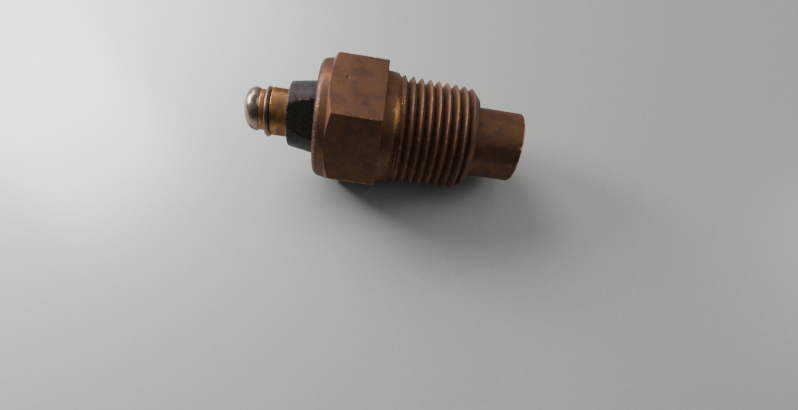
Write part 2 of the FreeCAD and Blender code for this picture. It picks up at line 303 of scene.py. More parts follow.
def dented(piece, dents):
    """Presses small dents towards the axis. Each is (place in mm, width, depth, brightness)."""
    mesh = piece.data
    count = len(mesh.vertices)
    points = np.empty(count * 3, np.float32)
    mesh.vertices.foreach_get("co", points)
    points = points.reshape(-1, 3) / MM
    wear = np.empty(count, np.float32)
    mesh.attributes["wear"].data.foreach_get("value", wear)
    reach = np.hypot(points[:, 1], points[:, 2])
    inward = np.zeros_like(points)
    inward[:, 1:] = -points[:, 1:] / np.maximum(reach, 1e-3)[:, None]
    for place, width, depth, brightness in dents:
        apart = np.linalg.norm(points - np.asarray(place, np.float32), axis=1)
        share = np.exp(-((apart / width) ** 2))
        points += inward * (depth * share)[:, None]
        mark = brightness * np.exp(-((apart / (1.2 * width)) ** 2))
        wear = np.where(np.abs(mark) > np.abs(wear), mark, wear)
    mesh.vertices.foreach_set("co", (points * MM).ravel())
    mesh.attributes["wear"].data.foreach_set("value", wear)
    mesh.update()


# ---------------------------------------------------------------- brass body

# Columns round the axis; the steps beside a corner and the pit are in degrees
EVEN_COLUMNS = 300
CORNER_STEPS = (0.25, 0.6, 1.1)
PIT_ANGLE_STEPS = (-1.5, -0.9, -0.5, 0, 0.5, 0.9, 1.5)
# Hexagon: its corners are cut back, rounded and rubbed, and its top flat has a pit
CORNER_CUT = 0.045
CORNER_BLEND = 0.06
CORNER_RUB = 0.45
CORNER_RUB_REACH = 0.2
PIT_PLACE = (-7.7, 1.5, 12.0)
PIT_STEPS = (0.1, 0.22, 0.36, 0.6)
FLAT_ROWS_X = (-8.9, PIT_PLACE[0], -6.3, -5.5, -4.5, -3.5, -2.5, -1.5, -0.8)
# Thread: rows at these distances from the middle of the groove, and how its surfaces blend and wear, with painted
# shade in the roots and a painted highlight on the run-out
GROOVE_STEPS = (0.0, 0.065, 0.14, 0.36, 0.58, 0.7, 0.79, 0.86)
CREST_ROUND = 0.7
CREST_LIFT = 0.2
BEVEL_BLEND = 0.15
RUN_OUT_BLEND = 0.06
GRIME_AND_SHADE_REACH = 0.22
CREST_RUB = 0.25
RUN_OUT_RUB = 0.1
PAINTED_GLINT = 0.85
GLINT_ANGLES = (110.0, 16.0)
# Nose: two extra rows, then the angle in degrees and the depth of each knock on its rim
NOSE_ROWS_X = (NOSE_END_X - 2, NOSE_END_X - 1.2)
NOSE_KNOCKS = ((122.8, 0.24), (196, 0.08), (75, 0.07), (330, 0.1))
CREST_KNOCKS = 70
CORNER_KNOCKS = 16


def body_angles():
    """Even columns, with more beside the hexagon's corners, the pit and the nose's deepest knock."""
    beside = [60 * k + side * step for k in range(6) for step in CORNER_STEPS for side in (-1, 1)]
    pit_angle = math.degrees(math.atan2(PIT_PLACE[2], PIT_PLACE[1]))
    beside += [pit_angle + step for step in PIT_ANGLE_STEPS]
    beside += [NOSE_KNOCKS[0][0] + step for step in (-1, 0, 1)]
    degrees = np.concatenate([np.arange(EVEN_COLUMNS) * 360 / EVEN_COLUMNS, np.mod(beside, 360)])
    return np.radians(np.unique(np.round(degrees, 4)))


def hexagon_radius(angles):
    """Reach of the hexagon at each angle, its corners slightly rounded."""
    from_flat = np.mod(angles, math.pi / 3) - math.pi / 6
    sharp = INSCRIBED / np.cos(from_flat)
    return soft_min(sharp, CORNER_RADIUS - CORNER_CUT, CORNER_BLEND)


def soft_min(a, b, size):
    """The smaller of the two, rounded over where they meet."""
    mix = np.clip(0.5 + 0.5 * (b - a) / size, 0, 1)
    return b + (a - b) * mix - size * mix * (1 - mix)


def soft_max(a, b, size):
    return -soft_min(-a, -b, size)


def crest_radius(x):
    return CREST_RADIUS_AT_END + TAPER * (THREAD_END_X - x)


def groove_x(angles):
    """Where the groove's middle crosses each angle, to be repeated every pitch."""
    return GROOVE_START_X - PITCH / 4 + PITCH * angles / math.tau


def run_out_rub_and_glint(angle):
    """How bright the thread's run-out is: a light rub all round and a painted highlight on one side."""
    middle, spread = GLINT_ANGLES
    return RUN_OUT_RUB + PAINTED_GLINT * math.exp(-(((math.degrees(angle) - middle) / spread) ** 2))


def thread_radius(x, from_groove, angle):
    """Radius of the threaded shank, and its wear: dirt and painted shade in the roots, a light rub on the crests,
    and a rub with a painted highlight on the run-out.
    """
    crest = crest_radius(x)
    flank = crest - THREAD_DEPTH + np.maximum(np.abs(from_groove) - ROOT_FLAT / 2, 0) / TAN_30
    thread = soft_min(flank, crest + CREST_LIFT, CREST_ROUND)
    bevel = NECK_RADIUS - (x - THREAD_BEVEL_X)
    thread = soft_min(thread, bevel, BEVEL_BLEND)
    run_out = NECK_RADIUS - RUN_OUT_SLOPE * np.maximum(x - NECK_LENGTH, 0)
    rub = np.clip(1 + (thread - crest) / CREST_LIFT, 0, 1)
    # Darker towards each root's middle: dirt and painted shade.
    grime_and_shade = np.clip(1 - np.abs(from_groove) / GRIME_AND_SHADE_REACH, 0, 1)
    wear = CREST_RUB * rub - grime_and_shade
    # On the run-out: a light rub, and on one side a painted highlight.
    wear = np.where(run_out > thread, run_out_rub_and_glint(angle), wear)
    return soft_max(thread, run_out, RUN_OUT_BLEND), wear


def thread_rows(skin, start_row, end_row, start_x, end_x):
    """The thread, its rows running along the groove, between a ring at its start and one at its end."""
    steps = sorted({side * step for step in GROOVE_STEPS for side in (-1, 1)} | {PITCH / 2})
    per_turn = len(steps)
    first_turn = math.floor((start_x - groove_x(0)) / PITCH) - 2
    turns = math.ceil((end_x - start_x) / PITCH) + 4
    turn_x = PITCH * (first_turn + np.arange(turns))
    offsets = (turn_x[:, None] + np.array(steps)).ravel()
    from_groove = np.tile(steps, turns)
    columns = []
    for column, angle in enumerate(skin.angles):
        x = groove_x(angle) + offsets
        radius, wear = thread_radius(x, from_groove, angle)
        inside = (x > start_x + CLEAR_OF_END) & (x < end_x - CLEAR_OF_END)
        first = len(skin.points)
        places = np.stack([x, radius * math.cos(angle), radius * math.sin(angle)], 1)
        skin.points += places[inside].tolist()
        skin.wear += wear[inside].tolist()
        before = int(np.argmax(inside))
        count = int(inside.sum())
        numbers = [start_row[column]] * before + list(range(first, first + count))
        numbers += [end_row[column]] * (len(x) - before - count)
        columns.append(numbers)
    columns.append(columns[0][per_turn:] + [end_row[0]] * per_turn)
    for left, right in zip(columns, columns[1:]):
        for k in range(len(left) - 1):
            face = distinct([left[k], right[k], right[k + 1], left[k + 1]])
            if face:
                skin.faces.append(face)


def body_front(angles):
    """Outline from the inner end of the bore, out through the lip and over the hexagon to the neck."""
    reach = hexagon_radius(angles)
    outline = Outline(len(angles))
    nose_bore = NOSE_RADIUS - NOSE_WALL
    inner_end_x = NOSE_END_X - NOSE_END_WALL
    seat_end_x = LIP_X + LIP_THICKNESS
    chamfer_x = HEX_X + (reach - INSCRIBED) * TAN_30
    corner_rub = corner_wear(angles)
    first_x, *rows_x = hexagon_rows()
    outline.corners(
        (inner_end_x, 0, 0, 0),
        (inner_end_x, nose_bore, 0, 0),
        (BORE_END_X, nose_bore, 0, 0),
        (BORE_END_X, OPENING_RADIUS, 0, 0),
        (SEAT_X, OPENING_RADIUS, 0, 0),
        (SEAT_X, SEAT_RADIUS, 0, 0),
        (seat_end_x, SEAT_RADIUS, 0, 0),
        (seat_end_x, OPENING_RADIUS, 0, 0),
        (LIP_X, OPENING_RADIUS, 0.2, 0.1),
        (LIP_X + LIP_FALL, LIP_RADIUS, LIP_ROUND, 0.2),
        # Darker in the concave corner below the lip: dirt and painted shade.
        (HEX_X, LIP_BASE_RADIUS, 0.03, -0.9),
        (chamfer_x, reach, EDGE_ROUND / 2, 0.15),
        (first_x, reach, 0, corner_rub),
    )
    for x in rows_x:
        outline.add(x, reach, corner_rub)
    shoulder = Outline(len(angles))
    shoulder.corners(
        (HEX_X / 2, reach, 0, 0),
        (0, reach, EDGE_ROUND, 0.4),
        # Darker in the concave corner at the neck: dirt and painted shade.
        (0, NECK_BASE_RADIUS, 0.15, -0.8),
        (NECK_LENGTH, NECK_RADIUS, 0, 0.1),
    )
    outline.rows += shoulder.rows[1:]
    return outline


def corner_wear(angles):
    """Rubbed along the hexagon's six corners."""
    from_corner = np.abs(np.mod(angles + math.pi / 6, math.pi / 3) - math.pi / 6)
    return CORNER_RUB * np.clip(1 - from_corner * INSCRIBED / CORNER_RUB_REACH, 0, 1)


def hexagon_rows():
    """Rows along the flats, closer together beside the pit in the top one."""
    pit = [PIT_PLACE[0] + side * step for step in PIT_STEPS for side in (-1, 1)]
    return sorted(pit + list(FLAT_ROWS_X))


def body_end(angles):
    """Outline from the thread's end face over the nose."""
    outline = Outline(len(angles))
    outline.corners(
        (THREAD_END_X, END_FACE_RADIUS, 0, 0.2),
        # Darker in the concave corner at the nose: dirt and painted shade.
        (THREAD_END_X, NOSE_RADIUS, 0.12, -0.8),
        (NOSE_ROWS_X[0], NOSE_RADIUS, 0, 0),
        (NOSE_ROWS_X[1], NOSE_RADIUS, 0, 0),
        (NOSE_END_X, NOSE_RADIUS, 0.4, 0.6),
        (NOSE_END_X, 0, 0, 0),
    )
    return outline


def body_dents():
    """Small knocks on the crests, on the hexagon's corners and on the nose's rim."""
    rng = random.Random(11)
    dents = []
    for _ in range(CREST_KNOCKS):
        angle = rng.uniform(0, math.tau)
        x = groove_x(angle) + PITCH / 2 - PITCH * rng.randint(2, 11)
        place = round_axis(x, crest_radius(x), angle)
        dents.append((place, rng.uniform(0.15, 0.35), rng.uniform(0.02, 0.08), rng.uniform(0.2, 0.8)))
    for _ in range(CORNER_KNOCKS):
        angle = math.radians(60 * rng.randint(0, 5))
        x = rng.choice((rng.uniform(HEX_X + 1.2, -0.2), -0.1, HEX_X + 1.1))
        place = round_axis(x, CORNER_RADIUS, angle)
        dents.append((place, rng.uniform(0.15, 0.4), rng.uniform(0.02, 0.08), rng.uniform(0.15, 0.5)))
    for degrees, depth in NOSE_KNOCKS:
        angle = math.radians(degrees)
        dents.append((round_axis(NOSE_END_X - 0.1, NOSE_RADIUS, angle), 0.4, depth, 1.0))
    # The pit is darkened: dirt and painted shade.
    dents.append((PIT_PLACE, 0.2, 0.12, -0.8))
    return dents


def brass_body():
    """The whole brass body: bore, lip, hexagon and neck, then the thread, then the nose."""
    angles = body_angles()
    skin = Skin(angles)
    front = skin.outline(body_front(angles))
    end = skin.outline(body_end(angles))
    thread_rows(skin, front[-1], end[0], NECK_LENGTH, THREAD_END_X)
    piece = mesh_object("body_shell", skin.points, skin.faces, skin.wear)
    dented(piece, body_dents())
    return piece


# ---------------------------------------------------------------- insulator

# How the edges of the flats and of the end are rounded and rubbed
FLAT_BLEND = 0.05
FLAT_RUB = 0.35
FLAT_RUB_REACH = 0.16
END_RUB = 0.45
ROUND_STEPS = 6
CONE_STEPS = 11
CHIPS = 20


def cone_radius(x):
    return INSULATOR_END_RADIUS + CONE_SLOPE * (x - INSULATOR_X)


def half_flat_angle(cone):
    """Half the angle that a flat takes up where the cone has this radius."""
    return math.acos(INSULATOR_FLATS / 2 / cone)


def insulator_angles(half_flat):
    """Columns that follow the edges of the two flats, which widen along the cone."""
    middle = math.radians(FLATS_ANGLE)
    near_edge = np.array((0.0, 0.012, 0.03, 0.06))
    flat = np.concatenate([near_edge, np.linspace(0.1, 0.9, 16), 1 - near_edge[::-1]])
    bend = np.concatenate([near_edge[1:], np.linspace(0.09, 0.91, 58), 1 - near_edge[:0:-1]])
    angles = []
    for side in (0, math.pi):
        angles.append(middle + side - half_flat + 2 * half_flat * flat)
        angles.append(middle + side + half_flat + (math.pi - 2 * half_flat) * bend)
    return np.concatenate(angles)


def insulator_row(skin, x, radius, flats, wear):
    """A row of the insulator. flats says whether the two flats cut it."""
    cone = np.clip(cone_radius(x), INSULATOR_FLATS / 2 + 0.1, INSULATOR_NECK_RADIUS)
    half_flat = half_flat_angle(cone)
    angles = insulator_angles(half_flat)
    from_flat = np.mod(angles - math.radians(FLATS_ANGLE) + math.pi / 2, math.pi) - math.pi / 2
    reach = np.full(len(angles), float(radius))
    worn = np.full(len(angles), float(wear))
    if flats:
        flat = INSULATOR_FLATS / 2 / np.cos(np.clip(from_flat, -1.2, 1.2))
        reach = soft_min(reach, flat, FLAT_BLEND)
        beside_edge = np.abs(np.abs(from_flat) - half_flat) * cone
        worn = np.maximum(worn, FLAT_RUB * np.clip(1 - beside_edge / FLAT_RUB_REACH, 0, 1))
    return skin.row(np.full(len(angles), float(x)), reach, worn, angles)


def insulator():
    """Black moulded cone with two flats, and below the lip its flange and spigot."""
    skin = Skin()
    cone_x = INSULATOR_X + INSULATOR_ROUND
    flats_end_x = LIP_X + LIP_THICKNESS
    rows = [
        (SOCKET_END_X, STUD_HOLE_RADIUS, False, 0),
        (SOCKET_END_X, SLEEVE_RADIUS + SLEEVE_PLAY, False, 0),
        (INSULATOR_X + SOCKET_BEVEL, SLEEVE_RADIUS + SLEEVE_PLAY, False, 0),
        (INSULATOR_X, SLEEVE_RADIUS + SLEEVE_PLAY + SOCKET_BEVEL, False, 0.1),
        (INSULATOR_X, 5.2, False, 0),
        (INSULATOR_X, INSULATOR_END_RADIUS - INSULATOR_ROUND - 0.2, True, 0),
    ]
    for step in range(ROUND_STEPS, -1, -1):
        turn = math.pi / 2 * step / ROUND_STEPS
        x = INSULATOR_X + INSULATOR_ROUND * (1 - math.sin(turn))
        radius = INSULATOR_END_RADIUS - INSULATOR_ROUND * (1 - math.cos(turn))
        rows.append((x, radius, True, END_RUB * math.sin(2 * turn)))
    for step in range(1, CONE_STEPS + 1):
        x = cone_x + (flats_end_x - cone_x) * step / CONE_STEPS
        rows.append((x, min(cone_radius(x), INSULATOR_NECK_RADIUS), True, 0))
    rows += [
        (flats_end_x, INSULATOR_NECK_RADIUS, False, 0),
        (FLANGE_X, INSULATOR_NECK_RADIUS, False, 0),
        (FLANGE_X, FLANGE_RADIUS, False, 0),
        (FLANGE_END_X, FLANGE_RADIUS, False, 0),
        (FLANGE_END_X, SPIGOT_RADIUS, False, 0),
        (SPIGOT_END_X, SPIGOT_RADIUS, False, 0),
        (SPIGOT_END_X, STUD_HOLE_RADIUS, False, 0),
    ]
    numbered = [insulator_row(skin, *row) for row in rows]
    for row, next_row in zip(numbered, numbered[1:] + numbered[:1]):
        skin.faces += strip_faces(row, next_row)
    piece = mesh_object("insulator_moulding", skin.points, skin.faces, skin.wear)
    dented(piece, insulator_chips())
    return piece


def insulator_chips():
    """Chips along the edges of the two flats."""
    rng = random.Random(5)
    chips = []
    for _ in range(CHIPS):
        x = rng.uniform(INSULATOR_X + 0.3, LIP_X)
        cone = cone_radius(x)
        half_flat = half_flat_angle(cone)
        angle = math.radians(FLATS_ANGLE) + rng.choice((0, math.pi)) + rng.choice((-1, 1)) * half_flat
        place = round_axis(x, cone, angle)
        chips.append((place, rng.uniform(0.08, 0.22), rng.uniform(0.02, 0.1), rng.uniform(0.3, 0.9)))
    return chips


# ---------------------------------------------------------------- terminal

TERMINAL_COLUMNS = 160


def smooth_run(points, steps=7):
    """Points along a smooth curve through the given ones."""
    ends = [points[0]] + list(points) + [points[-1]]
    run = []
    for k in range(1, len(ends) - 2):
        p0, p1, p2, p3 = (np.array(ends[k + shift], float) for shift in (-1, 0, 1, 2))
        for step in range(steps):
            t = step / steps
            run.append(0.5 * (2 * p1 + (p2 - p0) * t + (2 * p0 - 5 * p1 + 4 * p2 - p3) * t**2
                              + (3 * p1 - p0 - 3 * p2 + p3) * t**3))
    return run + [np.array(points[-1], float)]


def terminal_sleeve():
    """Brass sleeve: head inside the cap, bead, ring groove and barrel."""
    outline = Outline(TERMINAL_COLUMNS)
    outline.corners(
        (SLEEVE_END_X, STUD_HOLE_RADIUS, 0, 0),
        (SLEEVE_HEAD_X, STUD_HOLE_RADIUS, 0.1, 0),
        (SLEEVE_HEAD_X, SLEEVE_HEAD_RADIUS, 0.3, 0),
        (CAP_GROOVE_X, SLEEVE_HEAD_RADIUS, 0.05, 0),
        (CAP_GROOVE_X, CAP_GROOVE_RADIUS, 0.05, 0),
        (BEAD_X, CAP_GROOVE_RADIUS, 0.05, 0),
        (BEAD_X, BEAD_RADIUS, 0.3, 0.6),
        (RING_GROOVE_X[0], BEAD_RADIUS, 0.3, 0.6),
        (RING_GROOVE_X[0], RING_GROOVE_RADIUS, 0.08, 0),
        (RING_GROOVE_X[1], RING_GROOVE_RADIUS, 0.1, 0),
        (RING_GROOVE_X[1], SLEEVE_RADIUS, 0.15, 0.8),
        (SLEEVE_END_X, SLEEVE_RADIUS, 0.06, 0),
        (SLEEVE_END_X, STUD_HOLE_RADIUS, 0, 0),
    )
    outline.rows.pop()
    return turned_piece("sleeve_barrel", outline, loop=True)


def terminal_cap():
    """Drawn cap with a domed tip, rolled in at its rim."""
    outline = Outline(TERMINAL_COLUMNS)
    for x, radius in smooth_run(CAP_INSIDE) + CAP_RIM + smooth_run(CAP_OUTSIDE)[::-1]:
        outline.add(x, max(radius, 0.0))
    return turned_piece("cap_dome", outline)


def ring_stations(span):
    """The ring's rows: the share of its span and the wire's radius, which is less at the cut ends."""
    end_share = RING_END_ROUND / RING_RADIUS / span
    half = [
        (0.0, 0.0),
        (0.0, RING_WIRE_RADIUS - RING_END_ROUND),
        (0.3 * end_share, RING_WIRE_RADIUS - RING_END_ROUND / 4),
    ]
    half += [(share, RING_WIRE_RADIUS) for share in np.linspace(end_share, 0.5, RING_HALF_ROWS)]
    return half + [(1 - share, wire) for share, wire in reversed(half[:-1])]


def snap_ring():
    """Round wire bent to an open ring, its cut ends slightly rounded."""
    centre = Vector(joints["ring_turn"]["pos_m"]) / MM
    half_gap = math.radians(RING_GAP / 2)
    span = math.tau - 2 * half_gap
    points, wear, faces, rows = [], [], [], []
    for share, wire in ring_stations(span):
        angle = math.radians(RING_GAP_ANGLE) + half_gap + span * share
        first = len(points)
        for turn in even_angles(RING_WIRE_SIDES if wire else 1):
            radius = RING_RADIUS + wire * math.cos(turn)
            place = round_axis(wire * math.sin(turn), radius, angle)
            points.append([middle + away for middle, away in zip(centre, place)])
            wear.append(RING_END_RUB if wire < RING_WIRE_RADIUS else 0.0)
        rows.append(list(range(first, len(points))) if wire else [first] * RING_WIRE_SIDES)
    for row, next_row in zip(rows, rows[1:]):
        faces += strip_faces(row, next_row)
    return mesh_object("ring_wire", points, faces, wear)


def return_spring():
    """A piece with the spring's own shape."""
    node = frame["nodes"]["return_spring"]
    coil = bpy.data.objects.new("spring_coil", node.data.copy())
    coil.data.materials.clear()
    coil.matrix_world = node.matrix_world
    bpy.context.scene.collection.objects.link(coil)
    return coil


def shorten_spring(coil):
    """Gives the coil a mesh of its own."""
    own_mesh(coil)


# ---------------------------------------------------------------- materials

# Colours that lie over others, the dirt colour also painting shade in hollows, then the insulator's painted sheen,
# its matt flats and its chips
DIRT_AND_SHADE = (0.02, 0.012, 0.008, 1.0)
DUST = (0.3, 0.28, 0.27, 1.0)
LIP_FILM = (0.05, 0.034, 0.036, 1.0)
PAINTED_SHEEN_DARK = (0.028, 0.021, 0.024, 1.0)
PAINTED_SHEEN_PALE = (0.07, 0.048, 0.056, 1.0)
FLAT_DARK = (0.018, 0.018, 0.017, 1.0)
FLAT_PALE = (0.05, 0.047, 0.042, 1.0)
CHIPPED = (0.24, 0.17, 0.12, 1.0)


class Nodes:
    """Short way to put shader nodes together."""

    def __init__(self, tree):
        self.tree = tree

    def put(self, socket, value):
        if isinstance(value, bpy.types.NodeSocket):
            self.tree.links.new(value, socket)
        else:
            socket.default_value = value

    def node(self, kind, inputs=(), **settings):
        made = self.tree.nodes.new("ShaderNode" + kind)
        for key, value in settings.items():
            setattr(made, key, value)
        for key, value in dict(inputs).items():
            self.put(made.inputs[key], value)
        return made

    def math(self, operation, *values):
        return self.node("Math", enumerate(values), operation=operation).outputs[0]

    def add(self, *values):
        total = values[0]
        for value in values[1:]:
            total = self.math("ADD", total, value)
        return total

    def vector(self, operation, *values):
        return self.node("VectorMath", enumerate(values), operation=operation)

    def mix(self, share, low, high):
        """One colour mixed with another."""
        return self.node("Mix", {0: share, 6: low, 7: high}, data_type="RGBA").outputs[2]

    def blend(self, share, low, high):
        """One number mixed with another."""
        return self.node("Mix", {0: share, 2: low, 3: high}, data_type="FLOAT").outputs[0]

    def ramp(self, value, low, high, start=0.0, end=1.0):
        """Value mapped from low..high to start..end, held at the ends."""
        inputs = {0: value, 1: low, 2: high, 3: start, 4: end}
        return self.node("MapRange", inputs, interpolation_type="SMOOTHSTEP").outputs[0]

    def noise(self, place, scale, detail=3.0, roughness=0.55):
        inputs = {"Vector": place, "Scale": scale, "Detail": detail, "Roughness": roughness}
        return self.node("TexNoise", inputs).outputs[0]

    def mm(self):
        """Place on the piece in millimetres."""
        place = self.node("TexCoord").outputs["Object"]
        return self.node("VectorMath", {0: place, "Scale": 1 / MM}, operation="SCALE").outputs[0]

    def turned(self, place):
        """Place as (x, radius), which is the same all round the axis."""
        radius = self.radius(place)
        return self.node("CombineXYZ", {0: self.x(place), 1: radius}).outputs[0]

    def x(self, place):
        return self.node("SeparateXYZ", {0: place}).outputs[0]

    def radius(self, place):
        across = self.vector("MULTIPLY", place, (0, 1, 1)).outputs[0]
        return self.vector("LENGTH", across).outputs["Value"]

    def wear(self):
        return self.node("Attribute", attribute_name="wear").outputs["Fac"]

    def bump(self, height, strength, distance_mm):
        inputs = {"Height": height, "Strength": strength, "Distance": distance_mm * MM}
        return self.node("Bump", inputs).outputs[0]


class Finish(Nodes):
    """A new material and its shader."""

    def __init__(self, name):
        self.material = bpy.data.materials.new(name)
        self.material.use_nodes = True
        super().__init__(self.material.node_tree)
        self.shader = self.tree.nodes["Principled BSDF"]

    def set(self, **sockets):
        for name, value in sockets.items():
            self.put(self.shader.inputs[name.replace("_", " ")], value)


def colour(r, g, b):
    return (r, g, b, 1.0)


def aged_brass(name, clean, film, violet, bright, roughness, film_share=0.8, sheen=0.3, edge=0.6):
    """Brass under a brown oxide film, with blotches, a violet cast, tool marks, dirt and painted shade in the
    hollows, rubbed edges and a painted highlight on the run-out.

    film_share is how much of the brass the film hides, and sheen is how much of the film reflects like
    a varnish, without colour. The rolled lip has a darker film, and the thread is duller.
    """
    n = Finish(name)
    place = n.mm()
    x = n.x(place)
    turned_marks = n.noise(n.turned(place), 6.0, 3.0, 0.7)
    drawn_marks = n.noise(n.vector("MULTIPLY", place, (0.25, 2.5, 2.5)).outputs[0], 1.6, 3.0, 0.65)
    on_flats = n.ramp(n.radius(place), INSCRIBED - 0.05, INSCRIBED + 0.02)
    lines = n.blend(on_flats, turned_marks, drawn_marks)
    blotch = n.noise(place, 0.16, 4.0, 0.6)
    cloud = n.noise(place, 0.75, 4.0, 0.65)
    fine = n.noise(place, 3.0, 4.0, 0.7)
    speck = n.noise(place, 6.5, 2.0, 0.5)
    tint = n.noise(n.vector("ADD", place, (31, 7, 3)).outputs[0], 0.34, 3.0, 0.6)
    broken = n.noise(place, 2.6, 4.0, 0.75)
    wear = n.wear()

    # Where each layer lies
    film_mix = n.add(n.ramp(blotch, 0.3, 0.7, -0.14, 0.14), n.ramp(cloud, 0.3, 0.7, -0.14, 0.14),
                     n.ramp(fine, 0.3, 0.7, -0.12, 0.12), n.ramp(lines, 0.35, 0.65, -0.08, 0.08),
                     film_share)
    on_lip = n.math("MULTIPLY", n.ramp(x, LIP_X - 0.5, LIP_X),
                    n.ramp(x, LIP_X + 0.4, LIP_X + 1.9, 1, 0))
    on_thread = n.math("MULTIPLY", n.ramp(x, NECK_LENGTH, NECK_LENGTH + PITCH),
                       n.ramp(x, THREAD_END_X - 0.3, THREAD_END_X, 1, 0))
    # Where wear is below zero: dirt and painted shade. Where it is above: rubbed brass, and on the run-out a
    # painted highlight.
    grime_and_shade = n.math("MULTIPLY", n.ramp(wear, -0.9, -0.05, 1, 0), n.ramp(cloud, 0.3, 0.6, 0.7, 1.0))
    rubbed = n.ramp(n.add(wear, n.ramp(broken, 0.3, 0.7, -0.75, 0.15)), 0.0, 0.5)

    # Colour, from the metal outwards
    base = n.mix(film_mix, clean, film)
    base = n.mix(n.ramp(tint, 0.42, 0.66, 0, 0.7), base, violet)
    base = n.mix(n.ramp(speck, 0.66, 0.76, 0, 0.5), base, DIRT_AND_SHADE)
    base = n.mix(n.math("MULTIPLY", on_lip, 0.85), base, LIP_FILM)
    # Dirt and painted shade in the hollows, then rubbed brass and the run-out's painted highlight.
    base = n.mix(n.math("MULTIPLY", grime_and_shade, 0.7), base, DIRT_AND_SHADE)
    base = n.mix(rubbed, base, bright)

    # Gloss and relief
    rough = n.add(n.ramp(cloud, 0.3, 0.7, roughness - 0.05, roughness + 0.09),
                  n.ramp(lines, 0.3, 0.7, -0.05, 0.05), n.math("MULTIPLY", rubbed, -0.12),
                  n.math("MULTIPLY", grime_and_shade, 0.2), n.math("MULTIPLY", on_thread, 0.1))
    metal = n.add(n.blend(film_mix, 1.0, 1 - sheen), n.math("MULTIPLY", grime_and_shade, -0.4),
                  n.math("MULTIPLY", on_thread, -0.4))
    height = n.add(n.math("MULTIPLY", lines, 0.6), n.math("MULTIPLY", fine, 0.5),
                   n.math("MULTIPLY", speck, 0.3))
    n.set(Base_Color=base, Roughness=rough, Metallic=metal, Specular_Tint=colour(edge, edge, edge),
          Normal=n.bump(height, 0.35, 0.03))
    return n.material


def polished_metal(name, base_low, base_high, roughness, metallic=1.0, edge=1.0):
    """Plated or drawn metal with hazy patches, fine scratches and rubbed edges."""
    n = Finish(name)
    place = n.mm()
    patch = n.noise(place, 0.5, 4.0, 0.6)
    speck = n.noise(place, 5.0, 3.0, 0.6)
    marks = n.noise(n.turned(place), 9.0, 3.0, 0.7)
    base = n.mix(n.ramp(patch, 0.3, 0.7), base_low, base_high)
    base = n.mix(n.ramp(speck, 0.64, 0.74, 0, 0.5), base, colour(*(0.35 * c for c in base_low[:3])))
    rubbed = n.math("MULTIPLY", n.ramp(n.wear(), 0, 1), n.ramp(speck, 0.35, 0.6))
    base = n.mix(rubbed, base, colour(*(min(1.0, 1.6 * c) for c in base_high[:3])))
    rough = n.add(n.ramp(patch, 0.3, 0.7, roughness, roughness + 0.1),
                  n.ramp(marks, 0.3, 0.7, -0.03, 0.05))
    height = n.add(n.math("MULTIPLY", marks, 0.4), n.math("MULTIPLY", speck, 0.2))
    n.set(Base_Color=base, Roughness=rough, Metallic=metallic, Specular_Tint=colour(edge, edge, edge),
          Normal=n.bump(height, 0.3, 0.02))
    return n.material


def moulded(name, base_low, base_high, roughness, grain_scale=2.5, grain=0.5):
    """Rubber, ceramic or paper: grain, faint flow marks and dust."""
    n = Finish(name)
    place = n.mm()
    flow = n.noise(n.vector("MULTIPLY", place, (0.5, 1, 1)).outputs[0], 0.8, 4.0, 0.65)
    grains = n.noise(place, grain_scale, 4.0, 0.7)
    speck = n.noise(place, 9.0, 2.0, 0.5)
    base = n.mix(n.ramp(flow, 0.3, 0.7), base_low, base_high)
    base = n.mix(n.ramp(speck, 0.66, 0.76, 0, 0.12), base, DUST)
    rough = n.add(n.ramp(grains, 0.3, 0.7, roughness - 0.06, roughness + 0.1),
                  n.ramp(flow, 0.3, 0.7, -0.06, 0.06))
    n.set(Base_Color=base, Roughness=rough, Normal=n.bump(grains, grain, 0.03))
    return n.material


def black_phenolic():
    """Moulded black: matt flats, and on the cone a painted purple-grey sheen with wipe marks, and chips."""
    n = Finish("black_phenolic")
    place = n.mm()
    x = n.x(place)
    cone = n.math("MULTIPLY_ADD", x, CONE_SLOPE, cone_radius(0))
    on_cone_sheen = n.ramp(n.math("SUBTRACT", n.radius(place), cone), -0.25, -0.06)
    grains = n.noise(place, 2.5, 4.0, 0.7)
    patch = n.noise(place, 0.5, 3.0, 0.6)
    turn = n.node("VectorRotate", {"Vector": place, "Angle": math.radians(35)}, rotation_type="Z_AXIS")
    wiped = n.noise(n.vector("MULTIPLY", turn.outputs[0], (0.35, 3.0, 1.0)).outputs[0], 0.9, 4.0, 0.7)
    # The cone's purple-grey is a painted sheen over the black moulding; the flats stay black.
    skin = n.mix(n.ramp(n.add(wiped, patch), 0.85, 1.15), PAINTED_SHEEN_DARK, PAINTED_SHEEN_PALE)
    flat = n.mix(n.ramp(grains, 0.35, 0.65), FLAT_DARK, FLAT_PALE)
    base = n.mix(on_cone_sheen, flat, skin)
    chipped = n.ramp(n.add(n.wear(), n.ramp(grains, 0.35, 0.65, -0.95, 0.05)), 0.0, 0.35)
    base = n.mix(chipped, base, CHIPPED)
    rough = n.add(n.ramp(grains, 0.3, 0.7, 0.4, 0.52), n.ramp(wiped, 0.3, 0.7, -0.06, 0.06))
    height = n.add(grains, n.math("MULTIPLY", wiped, 0.5))
    n.set(Base_Color=base, Roughness=rough, Specular_IOR_Level=0.25, Normal=n.bump(height, 0.5, 0.03))
    return n.material


